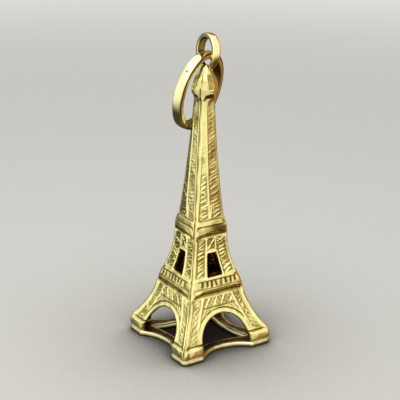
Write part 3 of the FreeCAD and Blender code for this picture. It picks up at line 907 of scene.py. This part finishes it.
def arc_points(start, end, radius):
    """Points from start to end, without the end, on an arc that bends to the left of the way there."""
    start, end = np.array(start), np.array(end)
    chord = end - start
    length = np.hypot(*chord)
    normal = np.array([-chord[1], chord[0]]) / length
    centre = (start + end) / 2 - normal * math.sqrt(radius ** 2 - (length / 2) ** 2)
    a, b = (math.atan2(*(p - centre)[::-1]) for p in (start, end))
    turns = np.linspace(a, a + wrapped(b - a), ARC_POINTS + 1)[:-1]
    return [centre + radius * np.array([math.cos(t), math.sin(t)]) for t in turns]


def quarter_turned(points, quarter):
    c, s = [(1, 0), (0, 1), (-1, 0), (0, -1)][quarter]
    return [np.array([c * x - s * y, s * x + c * y]) for x, y in points]


def all_round(points):
    """A whole outline from a quarter of it."""
    return np.array([p for quarter in range(4) for p in quarter_turned(points, quarter)])


def plate_outline():
    """The plate's outer edge, anticlockwise: four bites and four rounded corners."""
    middle = PLATE_HALF - PLATE_ROUND
    one = arc_points((PLATE_HALF, -BITE_HALF), (PLATE_HALF, BITE_HALF), BITE_RADIUS)
    one += [np.array([PLATE_HALF, y]) for y in np.linspace(BITE_HALF, middle, STRAIGHT_POINTS)]
    around = np.linspace(0, math.pi / 2, CORNER_POINTS)[1:-1]
    one += [np.array([middle + PLATE_ROUND * f(t) for f in (math.cos, math.sin)]) for t in around]
    one += [np.array([x, PLATE_HALF]) for x in np.linspace(middle, BITE_HALF, STRAIGHT_POINTS)[:-1]]
    return all_round(one)


def opening_outline():
    """The edge of the plate's opening, anticlockwise."""
    c = OPENING_CORNER
    return all_round(arc_points((c, -c), (c, c), OPENING_RADIUS))


def unit(vectors):
    return vectors / np.hypot(vectors[:, 0], vectors[:, 1])[:, None]


def outline_normals(outline):
    """Unit normals that point out of an anticlockwise outline, softened over a few points."""
    ahead = np.roll(outline, -1, axis=0) - np.roll(outline, 1, axis=0)
    normal = unit(np.stack([ahead[:, 1], -ahead[:, 0]], axis=1))
    for _ in range(3):
        normal = unit(normal + 0.5 * (np.roll(normal, 1, axis=0) + np.roll(normal, -1, axis=0)))
    return normal


def edge_levels():
    """(inset, height) round the plate's edge from its underside to its top."""
    middle = PLATE_TOP - EDGE_ROUND
    turns = np.linspace(0, 1.45, 7)
    return EDGE_FOOT + [(EDGE_ROUND * (1 - math.cos(t)), middle + EDGE_ROUND * math.sin(t)) for t in turns]


def plate_unevenness(x, y):
    return 0.020 * np.sin(1.9 * x + 0.7) * np.sin(1.6 * y - 0.4) + 0.010 * np.sin(4.3 * x - 3.1 * y)


def plate_mesh(builder):
    """The base plate: the rounded walls of its two edges, then its top and its underside."""
    levels = edge_levels()
    # The edge's painted shade and highlight, by height.
    tones = np.interp([z for _, z in levels], *EDGE_LIGHT_AND_SHADE)
    loops = []
    for outline, sign in ((plate_outline(), -1.0), (opening_outline(), 1.0)):
        normal = outline_normals(outline)
        uneven = 0.012 * np.sin(5 * outline[:, :1] + 3 * outline[:, 1:])
        rings = [
            np.column_stack([outline + sign * normal * (inset + uneven), np.full(len(outline), z)])
            for inset, z in levels
        ]
        count = len(outline)
        faces = tube_faces(len(rings), count, capped=False)
        start = builder.add(np.concatenate(rings) * MM, np.repeat(tones, count), faces, flip=sign < 0)
        loops.append((rings, start, count))
    cap_plate(builder, loops, len(levels) - 1, False)
    cap_plate(builder, loops, 0, True)


def cap_plate(builder, loops, level, flip):
    """The uneven top or the flat underside between the plate's two edges."""
    flat, index, edges = [], [], []
    for rings, start, count in loops:
        first = len(flat)
        flat += [Vector(p[:2]) for p in rings[level]]
        index += [start + level * count + k for k in range(count)]
        edges += [(first + k, first + (k + 1) % count) for k in range(count)]
    border = len(flat)
    outer, inner = (rings[level][:, :2] for rings, _, _ in loops)
    grid = [(x, y) for x in CAP_GRID for y in CAP_GRID]
    flat += [Vector(p) for p in grid if between_outlines(*p, outer, inner, CAP_CLEAR)]
    extra = np.array([p[:] for p in flat[border:]])
    uneven = plate_unevenness(extra[:, 0], extra[:, 1]) * (0 if flip else 1)
    points = np.column_stack([extra, loops[0][0][level][0, 2] + uneven])
    # The cap's vertices take the dark tone of painted shade.
    start = builder.add(points * MM, CAP_SHADE_TONE, [])
    for triangle in triangulate(flat, edges):
        middle = np.mean([flat[v][:] for v in triangle], axis=0)
        if between_outlines(*middle, outer, inner, 0.0):
            ids = [index[v] if v < border else start + v - border for v in triangle]
            builder.faces.append(ids[::-1] if flip else ids)


def outline_depth(x, y, outline):
    """How far a point lies from an outline's nearest corner; negative outside it."""
    ax, ay = outline[:, 0], outline[:, 1]
    bx, by = np.roll(ax, -1), np.roll(ay, -1)
    crosses = ((ay > y) != (by > y)) & (x < (bx - ax) * (y - ay) / (by - ay + 1e-30) + ax)
    return np.hypot(ax - x, ay - y).min() * (1 if crosses.sum() % 2 else -1)


def between_outlines(x, y, outer, inner, margin):
    return outline_depth(x, y, outer) > margin and outline_depth(x, y, inner) < -margin


FOOT_OUT, FOOT_IN, FOOT_START = 5.47, 5.04, 3.27
BEAD_STEP = 0.09
BEAD_WIDE, BEAD_TALL, BEAD_Z = 0.125, 0.085, 0.545
SOLDER_TONE = -0.01


def foot_bead(builder, quarter):
    """The bead of solder round the foot of one leg."""
    corners = [
        (FOOT_OUT, FOOT_START), (FOOT_OUT, FOOT_OUT), (FOOT_START, FOOT_OUT),
        (FOOT_START, FOOT_IN), (FOOT_IN, FOOT_IN), (FOOT_IN, FOOT_START),
    ]
    path = []
    for (ax, ay), (bx, by) in zip(corners, corners[1:] + corners[:1]):
        count = max(2, int(math.hypot(bx - ax, by - ay) / BEAD_STEP))
        path += [(ax + (bx - ax) * t, ay + (by - ay) * t) for t in np.linspace(0, 1, count, endpoint=False)]
    path = np.array(quarter_turned(path, quarter))
    around = np.linspace(0, 2 * math.pi, 12, endpoint=False)
    steps = np.arange(len(path))
    lumps = (1.0 + 0.10 * np.sin(steps * 0.9 + quarter) + 0.05 * np.sin(steps * 2.3))[:, None]
    out = (BEAD_WIDE * lumps * np.cos(around))[:, :, None] * outline_normals(path)[:, None, :]
    z = (BEAD_Z + BEAD_TALL * lumps * np.sin(around))[:, :, None]
    points = np.concatenate([path[:, None, :] + out, z], axis=2).reshape(-1, 3)
    builder.add(points * MM, SOLDER_TONE, tube_faces(len(path), len(around), True))


def solder_blob(builder, centre, size):
    """A lump of solder: a fine ball, squashed and made uneven."""
    work = bmesh.new()
    bmesh.ops.create_icosphere(work, subdivisions=5, radius=1.0)
    points = np.array([v.co[:] for v in work.verts])
    faces = [[v.index for v in f.verts] for f in work.faces]
    work.free()
    broad = np.sin(points @ np.array([3.1, 2.3, 1.7]) + 1.0)
    fine = np.sin(points @ np.array([-4.7, 3.9, 5.3]))
    points = points * (1.0 + 0.06 * broad + 0.04 * fine)[:, None] * np.array(size) + np.array(centre)
    builder.add(points * MM, SOLDER_TONE, faces)


# ---- Materials ----
class Tree:
    """Adds nodes to a material or a world."""

    def __init__(self, owner):
        owner.use_nodes = True
        self.nodes, self.links = owner.node_tree.nodes, owner.node_tree.links

    def fill(self, node, inputs):
        """Gives each input, by its name or number, either a value or another node's socket."""
        for key, value in inputs.items():
            socket = node.inputs[key]
            if isinstance(value, bpy.types.NodeSocket):
                self.links.new(value, socket)
            else:
                socket.default_value = (*value, 1.0) if socket.type == "RGBA" else value
        return node

    def add(self, kind, inputs=None, **settings):
        """A node of a kind with its inputs filled; settings are the node's own."""
        node = self.nodes.new("ShaderNode" + kind)
        for name, value in settings.items():
            setattr(node, name, value)
        return self.fill(node, inputs or {})

    def math(self, operation, *values, clamp=False):
        inputs = dict(enumerate(values))
        return self.add("Math", inputs, operation=operation, use_clamp=clamp).outputs[0]

    def mix(self, factor, a, b, blend="MIX"):
        inputs = {"Factor": factor, "A": a, "B": b}
        return self.add("Mix", inputs, data_type="RGBA", blend_type=blend).outputs["Result"]

    def ramp(self, factor, stops):
        node = self.add("ValToRGB", {"Fac": factor})
        elements = node.color_ramp.elements
        while len(elements) < len(stops):
            elements.new(0.5)
        for element, (position, colour) in zip(elements, stops):
            element.position = position
            element.color = (*colour, 1.0)
        return node.outputs["Color"]

    def noise(self, scale, detail, stretch=(1.0, 1.0, 1.0)):
        """Noise over the object's own space, stretched along an axis where that is below 1."""
        where = self.add("TexCoord").outputs["Object"]
        vector = self.add("Mapping", {"Vector": where, "Scale": stretch}).outputs["Vector"]
        return self.add("TexNoise", {"Vector": vector, "Scale": scale, "Detail": detail}).outputs["Fac"]


# Ramp stops of the gold, from hollows to ridges: place, brightness, and the share of green and blue kept
GOLD_STOPS = [
    (0.0, 0.16, 0.74, 0.45), (0.28, 0.52, 0.90, 0.62), (0.50, 1.0, 1.0, 1.0), (0.85, 1.12, 1.04, 1.12),
]
RELIEF_GAIN, PATCH_GAIN = 5.0, 0.35
RIDGE_POLISH = 0.16
GRAIN_DEPTH = 0.02
# Tones below this limit take the gold's inside colour, a painted shade.
INSIDE_SHADE_LIMIT = -0.3


def gold(name, tint, roughness, grain, inside=None):
    """Worn gold: bright on the ridges, brown in the hollows and where shade is painted into the relief tone,
    with fine scratches and uneven polish; the inside colour, if given, is painted shade where the tone is
    lowest.
    """
    material = bpy.data.materials.new(name)
    tree = Tree(material)
    relief = tree.add("Attribute", attribute_name="relief").outputs["Fac"]
    fine = tree.noise(5200.0, 3.0)
    scratches = tree.noise(2600.0, 3.0, (1.0, 1.0, 0.18))
    depth = tree.math("MULTIPLY_ADD", relief, RELIEF_GAIN, 0.5)
    patched = tree.math("MULTIPLY_ADD", tree.noise(900.0, 4.0), PATCH_GAIN, depth)
    level = tree.math("SUBTRACT", patched, PATCH_GAIN / 2, clamp=True)
    colour = tree.ramp(level, [
        (where, tuple(min(1.0, bright * part) for part in (tint[0], tint[1] * green, tint[2] * blue)))
        for where, bright, green, blue in GOLD_STOPS
    ])
    # Painted shade: tones below the inside limit, the tower's inner surfaces, take the inside colour.
    if inside:
        colour = tree.mix(tree.math("LESS_THAN", relief, INSIDE_SHADE_LIMIT), colour, inside)
    worn = tree.math("MULTIPLY_ADD", level, -RIDGE_POLISH, roughness + 0.10)
    marks = tree.math("MULTIPLY_ADD", fine, 0.5, scratches)
    bumps = tree.add("Bump", {"Strength": grain, "Distance": GRAIN_DEPTH * MM, "Height": marks})
    rough = tree.math("MULTIPLY_ADD", fine, 0.12, worn)
    looks = {"Base Color": colour, "Metallic": 1.0, "Roughness": rough, "Normal": bumps.outputs["Normal"]}
    tree.fill(tree.nodes["Principled BSDF"], looks)
    return material


MATERIALS = {
    # The sheet's near black-red inside colour is painted shade on the tower's inner surfaces.
    "gold_sheet": gold("aged_gold_sheet", (0.86, 0.765, 0.32), 0.13, 0.4, inside=(0.10, 0.022, 0.010)),
    "gold_plate": gold("aged_gold_plate", (0.70, 0.63, 0.36), 0.26, 0.6),
    "gold_ring": gold("polished_gold_ring", (0.88, 0.78, 0.38), 0.12, 0.12),
    "gold_solder": gold("gold_solder", (0.86, 0.76, 0.36), 0.28, 0.6),
}


# ---- The pieces, each of which stands for the CAD node of its name ----
def new_object(name, data):
    """An object with this data, put into the scene."""
    made = bpy.data.objects.new(name, data)
    bpy.context.scene.collection.objects.link(made)
    return made


def piece(builder, body, node, slot, weld=0.0):
    name = f"{body}.{node}"
    mesh = builder.mesh(name, weld)
    mesh.materials.append(MATERIALS[slot])
    shape = new_object(name, mesh)
    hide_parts(node)
    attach(shape, body)


SOUTH = Face(0, seam_side=-1, seed=11, front_side=-1)
EAST = Face(1, seam_side=1, seed=23, front_side=0)
NORTH = Face(2, seam_side=-1, seed=37, front_side=0)
WEST = Face(3, seam_side=1, seed=53, front_side=1)

for node, faces in (("right_half_shell", (SOUTH, EAST)), ("left_half_shell", (NORTH, WEST))):
    shell = Builder()
    for face in faces:
        face_mesh(shell, face)
    piece(shell, "tower", node, "gold_sheet", WELD * MM)

seams = Builder()
seam_strip(seams, SOUTH, WEST, 0.3)
seam_strip(seams, NORTH, EAST, 1.9)
piece(seams, "tower", "seam_solder", "gold_solder")

plate = Builder()
plate_mesh(plate)
piece(plate, "tower", "base_frame", "gold_plate")

beads = Builder()
for quarter in range(4):
    foot_bead(beads, quarter)
piece(beads, "tower", "base_solder", "gold_solder")

bail = Builder()
whole_turn = np.linspace(0, 2 * math.pi, 160, endpoint=False)
bail.add(*sweep_ring(BAIL_CENTRE, BAIL_AXIS, bail_profile, whole_turn, True))
piece(bail, "tower", "bail_ring", "gold_ring")

blob = Builder()
solder_blob(blob, (0.30, -0.12, 29.86), (0.40, 0.34, 0.26))
piece(blob, "tower", "bail_solder", "gold_solder")

jump = Builder()
split_turn = np.linspace(JUMP_SPLIT + JUMP_SPLIT_HALF, JUMP_SPLIT + 2 * math.pi - JUMP_SPLIT_HALF, 260)
jump.add(*sweep_ring(JUMP_CENTRE, JUMP_AXIS, jump_profile, split_turn, False))
piece(jump, "hanging_ring", "jump_ring", "gold_ring")

# ---- Studio: floor, light and camera ----
FLOOR_HALF = 2.0
FLOOR_DROP = 0.01
FLOOR_COLOUR = (0.88, 0.87, 0.84)
# Painted shadow: the floor darkens towards FLOOR_SHADE where ambient occlusion within FLOOR_SHADE_REACH
# millimetres finds it hemmed in, raised to FLOOR_SHADE_POWER.
FLOOR_SHADE = (0.02, 0.012, 0.008)
FLOOR_SHADE_REACH, FLOOR_SHADE_POWER = 30.0, 2.6
FLOOR_FADE = (0.06, 0.40)

LIT_WAY, WARM_WAY = (-0.66, -0.52, 0.55), (0.83, -0.56, 0.0)
SHADE_LEFT, SHADE_RIGHT = (0.20, 0.20, 0.175), (0.42, 0.235, 0.085)
ROOM_LIGHT = (1.09, 1.11, 1.06)
FILL_LIGHT = (0.30, 0.30, 0.29)
BACKDROP = (0.80, 0.80, 0.79)

# name, the way to the light, its distance and side in metres, its power in watts, its colour
LIGHTS = [
    ("key", (-0.65, -0.65, 1.3), 0.16, 0.16, 0.085, (1.0, 0.98, 0.94)),
    ("top", (0.1, 0.2, 1.0), 0.20, 0.20, 0.12, (1.0, 1.0, 1.0)),
    ("rim", (-1.0, 0.25, 0.35), 0.18, 0.12, 0.012, (1.0, 0.99, 0.96)),
]
LIGHT_TARGET = Vector((0, 0, 0.015))

CAMERA_AZIMUTH, CAMERA_ELEVATION, CAMERA_ROLL = (math.radians(a) for a in (-33.972, 19.093, 0.956))
CAMERA_DISTANCE, CAMERA_ASIDE, CAMERA_HEIGHT = 115.985, -0.139, 15.763
CAMERA_SENSOR, CAMERA_LENS = 36.0, 98.51


def floor_material():
    """Pale matt paper with a painted shadow where it is hemmed in, that the metal doesn't mirror and that
    fades far away.
    """
    material = bpy.data.materials.new("pale_floor")
    tree = Tree(material)
    shader = tree.nodes["Principled BSDF"]
    # Painted shadow: the paper's colour darkens by ambient occlusion.
    open_sky = tree.add("AmbientOcclusion", {"Distance": FLOOR_SHADE_REACH * MM}, samples=8).outputs["AO"]
    light = tree.math("POWER", open_sky, FLOOR_SHADE_POWER)
    colour = tree.mix(light, FLOOR_SHADE, FLOOR_COLOUR)
    tree.fill(shader, {"Base Color": colour, "Roughness": 0.75, "Specular IOR Level": 0.0})
    position = tree.add("NewGeometry").outputs["Position"]
    away = tree.add("VectorMath", {0: position}, operation="LENGTH").outputs["Value"]
    span = {"Value": away, "From Min": FLOOR_FADE[0], "From Max": FLOOR_FADE[1]}
    fade = tree.add("MapRange", span, interpolation_type="SMOOTHSTEP").outputs["Result"]
    unseen = tree.math("MAXIMUM", tree.add("LightPath").outputs["Is Glossy Ray"], fade)
    clear = tree.add("BsdfTransparent").outputs["BSDF"]
    surface = tree.add("MixShader", {"Fac": unseen, 1: shader.outputs["BSDF"], 2: clear}).outputs["Shader"]
    tree.fill(tree.nodes["Material Output"], {"Surface": surface})
    return material


def floor():
    mesh = bpy.data.meshes.new("floor")
    half, z = FLOOR_HALF, -FLOOR_DROP * MM
    corners = [(-half, -half, z), (half, -half, z), (half, half, z), (-half, half, z)]
    mesh.from_pydata(corners, [], [[0, 1, 2, 3]])
    mesh.materials.append(floor_material())
    new_object("floor", mesh)


def soft_light(name, direction, distance, size, power, colour):
    """A square light that shines at the middle of the tower from a direction."""
    data = bpy.data.lights.new(name, "AREA")
    data.size = size
    data.energy = power
    data.color = colour
    light = new_object(name, data)
    way = Vector(direction).normalized()
    light.location = LIGHT_TARGET + way * distance
    light.rotation_euler = way.to_track_quat("Z", "Y").to_euler()


def studio_world():
    """Pale to the camera; to the metal a soft room, bright above and on the left, warm on the right."""
    world = bpy.data.worlds.new("studio")
    bpy.context.scene.world = world
    tree = Tree(world)
    ray_way = tree.add("TexCoord").outputs["Generated"]

    def toward(direction):
        inputs = {0: ray_way, 1: Vector(direction).normalized()}
        dot = tree.add("VectorMath", inputs, operation="DOT_PRODUCT").outputs["Value"]
        return tree.add("MapRange", {"Value": dot, "From Min": -1.0}).outputs["Result"]

    def greys(stops):
        return [(where, (grey,) * 3) for where, grey in stops]

    aside = tree.ramp(toward(WARM_WAY), [(0.40, SHADE_LEFT), (0.62, SHADE_RIGHT)])
    lit = tree.ramp(toward(LIT_WAY), greys([(0.41, 0.0), (0.53, 0.80), (0.60, 1.0)]))
    ground = tree.ramp(toward((0, 0, 1)), greys([(0.14, 0.25), (0.36, 1.0)]))
    room = tree.mix(1.0, tree.mix(lit, aside, ROOM_LIGHT), ground, blend="MULTIPLY")
    path = tree.add("LightPath")
    seen = tree.mix(path.outputs["Is Diffuse Ray"], room, FILL_LIGHT)
    seen = tree.mix(path.outputs["Is Camera Ray"], seen, BACKDROP)
    tree.fill(tree.nodes["Background"], {"Color": seen})


def camera():
    """The view from in front of the seam corner, a little above the tower."""
    data = bpy.data.cameras.new("camera")
    data.sensor_width = CAMERA_SENSOR
    data.lens = CAMERA_LENS
    data.clip_start = 0.005
    data.clip_end = 20.0
    aim = Matrix.Translation((0, 0, CAMERA_HEIGHT * MM)) @ Matrix.Rotation(CAMERA_AZIMUTH, 4, "Z")
    tilt = Matrix.Rotation(math.pi / 2 - CAMERA_ELEVATION, 4, "X")
    away = Matrix.Translation((CAMERA_ASIDE * MM, 0, CAMERA_DISTANCE * MM))
    viewer = new_object("camera", data)
    viewer.matrix_world = aim @ tilt @ away @ Matrix.Rotation(CAMERA_ROLL, 4, "Z")
    bpy.context.scene.camera = viewer


floor()
studio_world()
for light in LIGHTS:
    soft_light(*light)
camera()
bpy.context.scene.view_settings.view_transform = "Standard"
